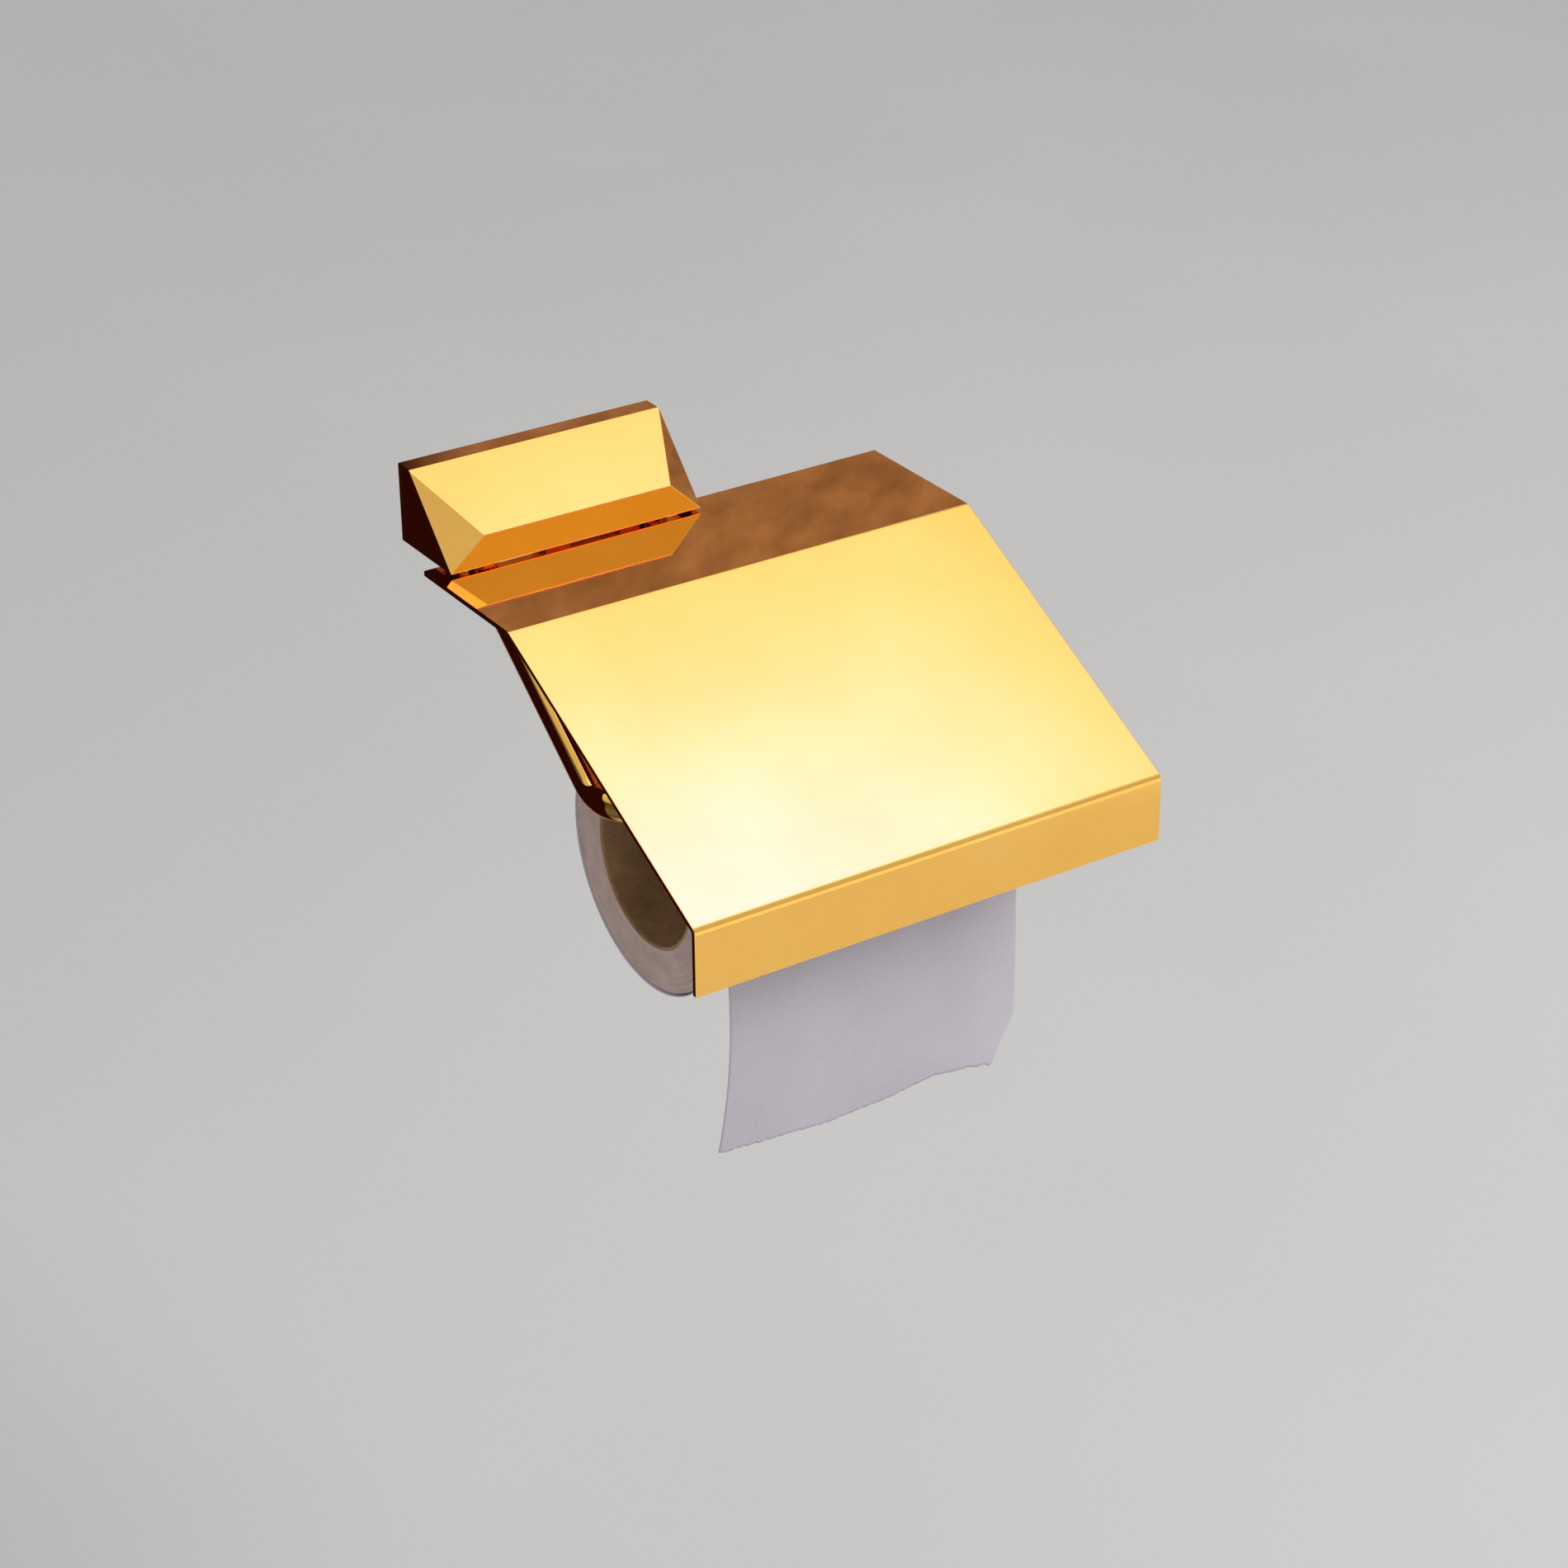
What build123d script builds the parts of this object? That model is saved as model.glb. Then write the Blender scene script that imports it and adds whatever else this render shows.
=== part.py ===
from build123d import *

# Toilet paper holder: a faceted gold wall base, a bent arm that carries the roll, and a hinged lid.
#
# Frame: +Z is up, the wall is the plane Y = 0 and the holder stands out towards -Y.  The origin is on
# the wall, midway between the wall plate's two screw holes.  X is measured from the middle of the base.
# Distances named OUT are measured out from the wall, so a point at OUT has Y = -OUT.  Millimetres.

import os

os.makedirs("parts", exist_ok=True)

# ---- driving dimensions ------------------------------------------------------------------------------

# Faceted base cover
BASE_WIDTH = 80.5
BASE_HEIGHT = 23.4
BASE_TOP_OUT = 6.1          # depth of the narrow level face at the top
BASE_RIDGE_OUT = 28.9       # the ridge where the two long facets meet
BASE_RIDGE_RISE = 9.8       # height of the ridge above the base's underside
BASE_FOOT_OUT = 28.0        # front edge of the underside
BASE_RIDGE_INSET = 10.4     # how far each end of the ridge is set in, which makes the end triangles
BASE_WALL = 2.2
BASE_EDGE_R = 0.35

# Lid: one bent sheet
LID_LEFT = -44.3
LID_WIDTH = 150.0
LID_SHEET = 1.5
LID_GAP = 0.8               # between the base's underside and the lid's level strip
LID_REAR_OUT = 19.7
LID_CREASE_OUT = 66.5
LID_FRONT_OUT = 157.9
LID_DROP = 47.6             # from the level strip down to the front bend
LID_LIP = 19.6
LID_BEND_R = 2.2
LID_EDGE_R = 0.25
NOTCH_HALF = 35.0           # half the width of the notch that lets the hinge and the arm through
NOTCH_FRONT_OUT = 26.4

# Lid hinge
HINGE_OUT = 30.4
HINGE_DROP = 3.0            # from the strip's underside down to the pin's centre
PIN_R = 1.5
PIN_CHAMFER = 0.3
KNUCKLE_R = 3.0
LUG_R = 2.7
LUG_WIDTH = 4.0
BRACKET_LEFT = -10.0
BRACKET_RIGHT = 32.0
BRACKET_PLATE = 3.0
KNUCKLE_WIDTH = 8.0
HINGE_WASHER_T = 0.6
LEAF_T = 1.2
LEAF_FRONT_OUT = 44.0
BRACKET_BACK_OUT = 9.0
BRACKET_FRONT_OUT = 23.0
HOOK_THICKNESS = 3.4
HOOK_BOTTOM = -23.0         # lowest level of the hooks that reach forward under the strip
HOOK_ROUND = 2.0
HOOK_NECK = 0.5             # how far the upright is set in from the back of the round lug
PIN_OVERHANG = 1.8
CLIP_T = 0.6
CLIP_GAP = 0.2
CLIP_MOUTH = 1.6
LEAF_ROUND = 3.0
GROOVE_R = 1.1
HINGE_WASHER_GAP = 0.1
BUFFER_R = 2.0
BUFFER_T = 0.7
BUFFER_X = 37.6
BUFFER_OUT = 23.5
RUNNING_CLEARANCE = 0.05
FIXED_CLEARANCE = 0.02

# Bent arm
ARM_R = 4.5
ARM_X = -23.8
ARM_OUT = 15.0              # the upright start, under the base
ARM_KNEE_DROP = 5.4         # from the base's underside to the corner where the slope begins
ARM_LEVEL_OUT = 74.0        # the corner where the slope meets the level run
ARM_LEVEL_DROP = 51.7       # from the base's underside to the level run
ARM_BEND_R = 10.0
ARM_FREE_END = 86.7
SPIGOT_R = 4.0              # threaded upper end, which passes into the base
SPIGOT_LENGTH = 10.0
ARM_WASHER_R = 7.6
ARM_WASHER_T = 1.2
ARM_NUT_FLATS = 13.0
ARM_NUT_T = 5.0
ARM_NUT_CHAMFER = 0.5
BUTTON_LENGTH = 2.6
BUTTON_ROUND = 1.8
BUTTON_STEM_R = 2.5
BUTTON_STEM_LENGTH = 6.0
BUTTON_BORE_SPARE = 0.5      # how much deeper the arm's bore is than the stem is long

# Paper roll
ROLL_OUT = 89.0
ROLL_LEFT = -17.8
ROLL_WIDTH = 97.0
CORE_INNER_R = 23.0
CORE_OUTER_R = 23.8
PAPER_R = 36.7
ROLL_CLEARANCE = 0.3        # between the arm and the core that hangs on it
LAYER_GAP = 0.05            # between the core and the first turn of paper
PAPER_ROUND = 0.6

# Loose end of the paper
TAIL_T = 0.6
TAIL_GAP = 0.3
TAIL_WRAP_DEG = 35.0        # how far the loose end follows the roll above its front
TORN_EDGE = (                # X and Z along the torn lower edge; the corner at the right is torn away
    (-17.8, -155.4),
    (18.0, -158.4),
    (52.0, -153.0),
    (71.5, -155.2),
    (79.2, -140.5),
)

# Wall plate and fasteners
PLATE_WIDTH = 72.0
PLATE_T = 2.0
PLATE_TOP = 9.3
PLATE_BOTTOM = -8.0
PLATE_ROUND = 0.8
FLANGE_T = 1.5
TOP_FLANGE_OUT = 5.0
BOTTOM_FLANGE_OUT = 7.0
WALL_HOLE_SPACING = 50.0
WALL_HOLE_R = 2.6
SET_SCREW_R = 2.0
SET_SCREW_X = 30.5
SET_SCREW_OUT = 4.6
SET_SCREW_RECESS = 0.1      # how far its outer end sits inside the underside
SET_SCREW_CHAMFER = 0.4
SET_SCREW_SOCKET_R = 1.15
SET_SCREW_SOCKET_DEPTH = 1.8
BRACKET_SCREW_R = 2.0
BRACKET_SCREW_X = (-4.0, 26.0)
BRACKET_SCREW_OUT = 15.0
BRACKET_HEAD_R = 3.8
BRACKET_HEAD_T = 2.4
BRACKET_HEAD_ROUND = 1.0
SOCKET_R = 1.5
SOCKET_DEPTH = 1.4

# ---- levels worked out from them ---------------------------------------------------------------------

BASE_TOP = BASE_HEIGHT / 2
BASE_BOTTOM = -BASE_HEIGHT / 2
BASE_FLOOR = BASE_BOTTOM + BASE_WALL
STRIP_TOP = BASE_BOTTOM - LID_GAP
STRIP_UNDER = STRIP_TOP - LID_SHEET
HINGE_Z = STRIP_UNDER - HINGE_DROP
HINGE_POINT = (-HINGE_OUT, HINGE_Z)
BRACKET_MIDDLE = (BRACKET_LEFT + BRACKET_RIGHT) / 2
KNUCKLE_LEFT = BRACKET_LEFT + LUG_WIDTH + HINGE_WASHER_T + 2 * HINGE_WASHER_GAP
KNUCKLE_RIGHT = 2 * BRACKET_MIDDLE - KNUCKLE_LEFT

ARM_KNEE_Z = BASE_BOTTOM - ARM_KNEE_DROP
ARM_LEVEL_Z = BASE_BOTTOM - ARM_LEVEL_DROP
ROLL_Z = ARM_LEVEL_Z + ARM_R + ROLL_CLEARANCE - CORE_INNER_R
ROLL_POINT = (-ROLL_OUT, ROLL_Z)
ROLL_RIGHT = ROLL_LEFT + ROLL_WIDTH
TAIL_BOTTOM = min(z for x, z in TORN_EDGE)


def yz_plane(x):
    """Plane across the holder at x, whose sketch axes are Y and Z."""
    return Plane.YZ.offset(x)


def finish(piece, name):
    """Label a finished piece and write it to its file."""
    piece.part.label = name
    export_step(piece.part, f"parts/{name}.step")


# ---- base cover --------------------------------------------------------------------------------------

def end_facet_plane(side, inset):
    """Plane of an end triangle, moved into the base by inset; its normal points out of the base."""
    top = Vector(side * BASE_WIDTH / 2, -BASE_TOP_OUT, BASE_TOP)
    foot = Vector(side * BASE_WIDTH / 2, -BASE_FOOT_OUT, BASE_BOTTOM)
    ridge_x = side * (BASE_WIDTH / 2 - BASE_RIDGE_INSET)
    ridge = Vector(ridge_x, -BASE_RIDGE_OUT, BASE_BOTTOM + BASE_RIDGE_RISE)
    normal = (ridge - top).cross(foot - top).normalized()
    if normal.X * side < 0:
        normal = -normal
    return Plane(origin=top - normal * inset, x_dir=(foot - top).normalized(), z_dir=normal)


def faceted_block(inset=0.0):
    """Solid with the base's faces, each moved in by inset but for the wall side, which stays open."""
    wall_side = 2 * inset
    with BuildPart() as block:
        with BuildSketch(Plane.YZ):
            with BuildLine():
                Polyline(
                    (wall_side, BASE_BOTTOM),
                    (-BASE_FOOT_OUT, BASE_BOTTOM),
                    (-BASE_RIDGE_OUT, BASE_BOTTOM + BASE_RIDGE_RISE),
                    (-BASE_TOP_OUT, BASE_TOP),
                    (wall_side, BASE_TOP),
                    close=True,
                )
            make_face()
            if inset:
                offset(amount=-inset, kind=Kind.INTERSECTION)
        extrude(amount=BASE_WIDTH / 2 - inset, both=True)
        for side in (-1, 1):
            split(bisect_by=end_facet_plane(side, inset), keep=Keep.BOTTOM)
    return block.part


with BuildPart() as base_cover:
    add(faceted_block())
    fillet(base_cover.edges().filter_by(lambda edge: edge.center().Y < -BASE_EDGE_R), BASE_EDGE_R)
    add(faceted_block(BASE_WALL), mode=Mode.SUBTRACT)
    with BuildSketch(Plane.XY.offset(BASE_BOTTOM)):
        with Locations((ARM_X, -ARM_OUT)):
            Circle(SPIGOT_R + RUNNING_CLEARANCE)
        with Locations(*[(x, -BRACKET_SCREW_OUT) for x in BRACKET_SCREW_X]):
            Circle(BRACKET_SCREW_R + RUNNING_CLEARANCE)
        with Locations((-SET_SCREW_X, -SET_SCREW_OUT), (SET_SCREW_X, -SET_SCREW_OUT)):
            Circle(SET_SCREW_R + RUNNING_CLEARANCE)
    extrude(amount=BASE_WALL, mode=Mode.SUBTRACT)
finish(base_cover, "base_cover")

# ---- wall plate --------------------------------------------------------------------------------------

with BuildPart() as wall_plate:
    with BuildSketch(Plane.YZ):
        with BuildLine():
            Polyline(
                (0, PLATE_BOTTOM),
                (-BOTTOM_FLANGE_OUT, PLATE_BOTTOM),
                (-BOTTOM_FLANGE_OUT, PLATE_BOTTOM + FLANGE_T),
                (-PLATE_T, PLATE_BOTTOM + FLANGE_T),
                (-PLATE_T, PLATE_TOP - FLANGE_T),
                (-TOP_FLANGE_OUT, PLATE_TOP - FLANGE_T),
                (-TOP_FLANGE_OUT, PLATE_TOP),
                (0, PLATE_TOP),
                close=True,
            )
        make_face()
    extrude(amount=PLATE_WIDTH / 2, both=True)
    fillet(wall_plate.edges().filter_by(Axis.X).group_by(Axis.Y)[-1], PLATE_ROUND)
    with Locations(Plane.XZ):
        with GridLocations(WALL_HOLE_SPACING, 1, 2, 1):
            Hole(WALL_HOLE_R)
finish(wall_plate, "wall_plate")

with BuildPart() as base_set_screws:
    for x in (-SET_SCREW_X, SET_SCREW_X):
        with BuildSketch(Plane.XY.offset(BASE_BOTTOM + SET_SCREW_RECESS)):
            with Locations((x, -SET_SCREW_OUT)):
                Circle(SET_SCREW_R)
        extrude(amount=PLATE_BOTTOM - BASE_BOTTOM - SET_SCREW_RECESS)
    chamfer(base_set_screws.edges().group_by(Axis.Z)[-1], SET_SCREW_CHAMFER)
    with BuildSketch(Plane.XY.offset(BASE_BOTTOM + SET_SCREW_RECESS)):
        with Locations((-SET_SCREW_X, -SET_SCREW_OUT), (SET_SCREW_X, -SET_SCREW_OUT)):
            RegularPolygon(SET_SCREW_SOCKET_R, 6)
    extrude(amount=SET_SCREW_SOCKET_DEPTH, mode=Mode.SUBTRACT)
finish(base_set_screws, "base_set_screws")

# ---- arm ---------------------------------------------------------------------------------------------

with BuildPart() as paper_arm:
    with BuildLine():
        FilletPolyline(
            (ARM_X, -ARM_OUT, BASE_BOTTOM),
            (ARM_X, -ARM_OUT, ARM_KNEE_Z),
            (ARM_X, -ARM_LEVEL_OUT, ARM_LEVEL_Z),
            (ARM_X, -ROLL_OUT, ARM_LEVEL_Z),
            (ARM_FREE_END, -ROLL_OUT, ARM_LEVEL_Z),
            radius=ARM_BEND_R,
        )
    with BuildSketch(Plane.XY.offset(BASE_BOTTOM)):
        with Locations((ARM_X, -ARM_OUT)):
            Circle(ARM_R)
    sweep()
    with BuildSketch(Plane.XY.offset(BASE_BOTTOM)):
        with Locations((ARM_X, -ARM_OUT)):
            Circle(SPIGOT_R)
    extrude(amount=SPIGOT_LENGTH)
    with BuildSketch(yz_plane(ARM_FREE_END)):
        with Locations((-ROLL_OUT, ARM_LEVEL_Z)):
            Circle(BUTTON_STEM_R + FIXED_CLEARANCE)
    extrude(amount=-BUTTON_STEM_LENGTH - BUTTON_BORE_SPARE, mode=Mode.SUBTRACT)
finish(paper_arm, "paper_arm")

with BuildPart() as arm_end_button:
    with BuildSketch(yz_plane(ARM_FREE_END)):
        with Locations((-ROLL_OUT, ARM_LEVEL_Z)):
            Circle(ARM_R)
    extrude(amount=BUTTON_LENGTH)
    fillet(arm_end_button.edges().group_by(Axis.X)[-1], BUTTON_ROUND)
    with BuildSketch(yz_plane(ARM_FREE_END)):
        with Locations((-ROLL_OUT, ARM_LEVEL_Z)):
            Circle(BUTTON_STEM_R)
    extrude(amount=-BUTTON_STEM_LENGTH)
finish(arm_end_button, "arm_end_button")

with BuildPart() as arm_washer:
    with BuildSketch(Plane.XY.offset(BASE_FLOOR)):
        with Locations((ARM_X, -ARM_OUT)):
            Circle(ARM_WASHER_R)
            Circle(SPIGOT_R + RUNNING_CLEARANCE, mode=Mode.SUBTRACT)
    extrude(amount=ARM_WASHER_T)
finish(arm_washer, "arm_washer")

with BuildPart() as arm_nut:
    with BuildSketch(Plane.XY.offset(BASE_FLOOR + ARM_WASHER_T)):
        with Locations((ARM_X, -ARM_OUT)):
            RegularPolygon(ARM_NUT_FLATS / 2, 6, major_radius=False)
            Circle(SPIGOT_R + RUNNING_CLEARANCE, mode=Mode.SUBTRACT)
    extrude(amount=ARM_NUT_T)
    chamfer(arm_nut.edges().group_by(Axis.Z)[-1].filter_by(GeomType.LINE), ARM_NUT_CHAMFER)
finish(arm_nut, "arm_nut")

# ---- lid hinge ---------------------------------------------------------------------------------------

with BuildPart() as hinge_bracket:
    with BuildSketch(Plane.XY.offset(BASE_BOTTOM)):
        with Locations((BRACKET_MIDDLE, -(BRACKET_BACK_OUT + BRACKET_FRONT_OUT) / 2)):
            Rectangle(BRACKET_RIGHT - BRACKET_LEFT, BRACKET_FRONT_OUT - BRACKET_BACK_OUT)
        with Locations(*[(x, -BRACKET_SCREW_OUT) for x in BRACKET_SCREW_X]):
            Circle(BRACKET_SCREW_R + RUNNING_CLEARANCE, mode=Mode.SUBTRACT)
    extrude(amount=-BRACKET_PLATE)
    for x in (BRACKET_LEFT, BRACKET_RIGHT - LUG_WIDTH):
        with BuildSketch(yz_plane(x)) as hook:
            with BuildLine():
                Polyline(
                    (-BRACKET_FRONT_OUT + HOOK_THICKNESS, BASE_BOTTOM - BRACKET_PLATE / 2),
                    (-BRACKET_FRONT_OUT, BASE_BOTTOM - BRACKET_PLATE / 2),
                    (-BRACKET_FRONT_OUT, HOOK_BOTTOM + HOOK_THICKNESS),
                    (-HINGE_OUT + LUG_R - HOOK_NECK, HOOK_BOTTOM + HOOK_THICKNESS),
                    (-HINGE_OUT + LUG_R - HOOK_NECK, HINGE_Z),
                    (-HINGE_OUT - LUG_R, HINGE_Z),
                    (-HINGE_OUT - LUG_R, HOOK_BOTTOM),
                    (-BRACKET_FRONT_OUT + HOOK_THICKNESS, HOOK_BOTTOM),
                    close=True,
                )
            make_face()
            fillet(hook.vertices().group_by(Axis.Y)[0], HOOK_ROUND)
            with Locations(HINGE_POINT):
                Circle(LUG_R)
                Circle(PIN_R + FIXED_CLEARANCE, mode=Mode.SUBTRACT)
        extrude(amount=LUG_WIDTH)
finish(hinge_bracket, "hinge_bracket")

with BuildPart() as bracket_screws:
    with BuildSketch(Plane.XY.offset(BASE_FLOOR)):
        with Locations(*[(x, -BRACKET_SCREW_OUT) for x in BRACKET_SCREW_X]):
            Circle(BRACKET_HEAD_R)
    extrude(amount=BRACKET_HEAD_T)
    fillet(bracket_screws.edges().group_by(Axis.Z)[-1], BRACKET_HEAD_ROUND)
    with BuildSketch(Plane.XY.offset(BASE_FLOOR)):
        with Locations(*[(x, -BRACKET_SCREW_OUT) for x in BRACKET_SCREW_X]):
            Circle(BRACKET_SCREW_R)
    extrude(amount=-BASE_WALL - BRACKET_PLATE)
    with BuildSketch(Plane.XY.offset(BASE_FLOOR + BRACKET_HEAD_T)):
        with Locations(*[(x, -BRACKET_SCREW_OUT) for x in BRACKET_SCREW_X]):
            RegularPolygon(SOCKET_R, 6)
    extrude(amount=-SOCKET_DEPTH, mode=Mode.SUBTRACT)
finish(bracket_screws, "bracket_screws")


def ring(x, thickness, middle, inner_r, outer_r):
    """Ring or tube along X, which starts at x, about the point middle, given as Y and Z."""
    with BuildPart() as shape:
        with BuildSketch(yz_plane(x)):
            with Locations(middle):
                Circle(outer_r)
                Circle(inner_r, mode=Mode.SUBTRACT)
        extrude(amount=thickness)
    return shape.part


CLIP_STARTS = (BRACKET_LEFT - CLIP_GAP - CLIP_T, BRACKET_RIGHT + CLIP_GAP)

with BuildPart() as hinge_pin:
    with BuildSketch(yz_plane(BRACKET_LEFT - PIN_OVERHANG)):
        with Locations(HINGE_POINT):
            Circle(PIN_R)
    extrude(amount=BRACKET_RIGHT - BRACKET_LEFT + 2 * PIN_OVERHANG)
    chamfer(hinge_pin.edges(), PIN_CHAMFER)
    for start in CLIP_STARTS:
        with BuildSketch(yz_plane(start)):
            with Locations(HINGE_POINT):
                Circle(PIN_R)
                Circle(GROOVE_R, mode=Mode.SUBTRACT)
        extrude(amount=CLIP_T, mode=Mode.SUBTRACT)
finish(hinge_pin, "hinge_pin")

with BuildPart() as pin_clips:
    for start in CLIP_STARTS:
        add(ring(start, CLIP_T, HINGE_POINT, GROOVE_R + FIXED_CLEARANCE, LUG_R))
        with BuildSketch(yz_plane(start)):
            with Locations((-HINGE_OUT, HINGE_Z - LUG_R)):
                Rectangle(CLIP_MOUTH, 2 * LUG_R)
        extrude(amount=CLIP_T, mode=Mode.SUBTRACT)
finish(pin_clips, "pin_clips")

with BuildPart() as hinge_washers:
    for start in (KNUCKLE_LEFT, KNUCKLE_RIGHT + HINGE_WASHER_T + 2 * HINGE_WASHER_GAP):
        add(ring(start - HINGE_WASHER_GAP, -HINGE_WASHER_T, HINGE_POINT, PIN_R + FIXED_CLEARANCE, LUG_R))
finish(hinge_washers, "hinge_washers")

with BuildPart() as lid_buffers:
    with BuildSketch(Plane.XY.offset(BASE_BOTTOM)):
        with Locations((-BUFFER_X, -BUFFER_OUT), (BUFFER_X, -BUFFER_OUT)):
            Circle(BUFFER_R)
    extrude(amount=-BUFFER_T)
finish(lid_buffers, "lid_buffers")

with BuildPart() as lid_hinge_leaf:
    with BuildSketch(Plane.XY.offset(STRIP_UNDER)) as leaf:
        with Locations((BRACKET_MIDDLE, -(HINGE_OUT - KNUCKLE_R + LEAF_FRONT_OUT) / 2)):
            Rectangle(KNUCKLE_RIGHT - KNUCKLE_LEFT, LEAF_FRONT_OUT - HINGE_OUT + KNUCKLE_R)
        fillet(leaf.vertices().group_by(Axis.Y)[0], LEAF_ROUND)
    extrude(amount=-LEAF_T)
    for x in (KNUCKLE_LEFT, KNUCKLE_RIGHT - KNUCKLE_WIDTH):
        with BuildSketch(yz_plane(x)):
            with Locations(HINGE_POINT):
                Circle(KNUCKLE_R)
            with Locations((-HINGE_OUT, (HINGE_Z + STRIP_UNDER) / 2)):
                Rectangle(2 * KNUCKLE_R, HINGE_DROP)
            with Locations(HINGE_POINT):
                Circle(PIN_R + RUNNING_CLEARANCE, mode=Mode.SUBTRACT)
        extrude(amount=KNUCKLE_WIDTH)
finish(lid_hinge_leaf, "lid_hinge_leaf")

# ---- lid ---------------------------------------------------------------------------------------------

with BuildPart() as lid_plate:
    with BuildSketch(yz_plane(LID_LEFT)):
        with BuildLine():
            FilletPolyline(
                (-LID_REAR_OUT, STRIP_TOP),
                (-LID_CREASE_OUT, STRIP_TOP),
                (-LID_FRONT_OUT, STRIP_TOP - LID_DROP),
                (-LID_FRONT_OUT, STRIP_TOP - LID_DROP - LID_LIP),
                radius=LID_BEND_R,
            )
            offset(amount=LID_SHEET, side=Side.LEFT)
        make_face()
    extrude(amount=LID_WIDTH)
    with BuildSketch(Plane.XY.offset(STRIP_UNDER)):
        with Locations((0, -(LID_REAR_OUT + NOTCH_FRONT_OUT) / 2)):
            Rectangle(2 * NOTCH_HALF, NOTCH_FRONT_OUT - LID_REAR_OUT)
    extrude(amount=LID_SHEET, mode=Mode.SUBTRACT)
    ends = lid_plate.faces().filter_by(Plane.YZ)
    outer_ends = ends.group_by(Axis.X)[0] + ends.group_by(Axis.X)[-1]
    fillet(outer_ends.edges(), LID_EDGE_R)
finish(lid_plate, "lid_plate")

# ---- paper roll --------------------------------------------------------------------------------------

with BuildPart() as roll_core:
    add(ring(ROLL_LEFT, ROLL_WIDTH, ROLL_POINT, CORE_INNER_R, CORE_OUTER_R))
finish(roll_core, "roll_core")

with BuildPart() as paper_roll:
    add(ring(ROLL_LEFT, ROLL_WIDTH, ROLL_POINT, CORE_OUTER_R + LAYER_GAP, PAPER_R))
    fillet(paper_roll.faces().sort_by(SortBy.AREA)[-1].edges().filter_by(GeomType.CIRCLE), PAPER_ROUND)
finish(paper_roll, "paper_roll")

with BuildPart() as paper_tail:
    with BuildSketch(yz_plane(ROLL_LEFT)):
        with BuildLine():
            wrap = CenterArc(
                ROLL_POINT, PAPER_R + TAIL_GAP, start_angle=180 - TAIL_WRAP_DEG, arc_size=TAIL_WRAP_DEG
            )
            Line(wrap @ 1, ((wrap @ 1).X, TAIL_BOTTOM))
            offset(amount=TAIL_T, side=Side.RIGHT)
        make_face()
    extrude(amount=ROLL_WIDTH)
    with BuildSketch(Plane.XZ):
        with BuildLine():
            Polyline(
                (ROLL_LEFT, ROLL_Z + PAPER_R),
                *TORN_EDGE,
                (ROLL_RIGHT, ROLL_Z + PAPER_R),
                close=True,
            )
        make_face()
    extrude(amount=ROLL_OUT + 2 * PAPER_R, mode=Mode.INTERSECT)
finish(paper_tail, "paper_tail")
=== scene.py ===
"""Looks of the toilet paper holder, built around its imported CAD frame.  Metres, +Z up, wall at Y = 0."""
import math

import bpy
from mathutils import Matrix, Vector, noise


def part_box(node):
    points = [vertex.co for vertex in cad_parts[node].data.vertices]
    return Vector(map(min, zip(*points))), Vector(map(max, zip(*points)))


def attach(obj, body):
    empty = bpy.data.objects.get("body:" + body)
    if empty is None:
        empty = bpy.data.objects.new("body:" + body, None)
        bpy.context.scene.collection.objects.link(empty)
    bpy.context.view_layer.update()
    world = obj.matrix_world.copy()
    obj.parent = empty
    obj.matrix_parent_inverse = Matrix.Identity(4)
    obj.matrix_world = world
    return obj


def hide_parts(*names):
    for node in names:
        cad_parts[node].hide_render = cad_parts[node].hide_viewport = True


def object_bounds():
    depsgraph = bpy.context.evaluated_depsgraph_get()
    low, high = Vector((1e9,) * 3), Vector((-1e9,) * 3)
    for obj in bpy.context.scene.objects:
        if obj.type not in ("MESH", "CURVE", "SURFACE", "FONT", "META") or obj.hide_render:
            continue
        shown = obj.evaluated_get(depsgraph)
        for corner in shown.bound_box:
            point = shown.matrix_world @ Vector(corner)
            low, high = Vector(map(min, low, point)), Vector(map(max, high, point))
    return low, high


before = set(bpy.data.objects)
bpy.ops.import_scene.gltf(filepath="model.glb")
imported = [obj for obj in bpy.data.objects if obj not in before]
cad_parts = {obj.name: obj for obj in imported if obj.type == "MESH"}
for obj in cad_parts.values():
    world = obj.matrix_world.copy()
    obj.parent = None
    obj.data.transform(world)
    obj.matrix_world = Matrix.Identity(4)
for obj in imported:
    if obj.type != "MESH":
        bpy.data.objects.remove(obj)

CAD_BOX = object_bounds()
MM = 0.001


# ---- camera -------------------------------------------------------------------------------------------

CAMERA_AT = Vector((-0.4766, -0.8664, 0.4248))
CAMERA_AZIMUTH = math.radians(32.98)
CAMERA_DOWN = math.radians(28.08)
CAMERA_ROLL = math.radians(-0.52)
CAMERA_LENS = 87.1


def make_camera():
    """Camera to the holder's left, looking down at it and in towards the wall."""
    data = bpy.data.cameras.new("camera")
    data.lens = CAMERA_LENS
    camera = bpy.data.objects.new("camera", data)
    bpy.context.scene.collection.objects.link(camera)
    a, e = CAMERA_AZIMUTH, CAMERA_DOWN
    forward = Vector((math.sin(a) * math.cos(e), math.cos(a) * math.cos(e), -math.sin(e)))
    right = Vector((math.cos(a), -math.sin(a), 0))
    up = right.cross(forward)
    right, up = (
        right * math.cos(CAMERA_ROLL) + up * math.sin(CAMERA_ROLL),
        up * math.cos(CAMERA_ROLL) - right * math.sin(CAMERA_ROLL),
    )
    turn = Matrix((right, up, -forward)).transposed().to_4x4()
    camera.matrix_world = Matrix.Translation(CAMERA_AT) @ turn
    bpy.context.scene.camera = camera


# ---- node helpers -------------------------------------------------------------------------------------

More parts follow.
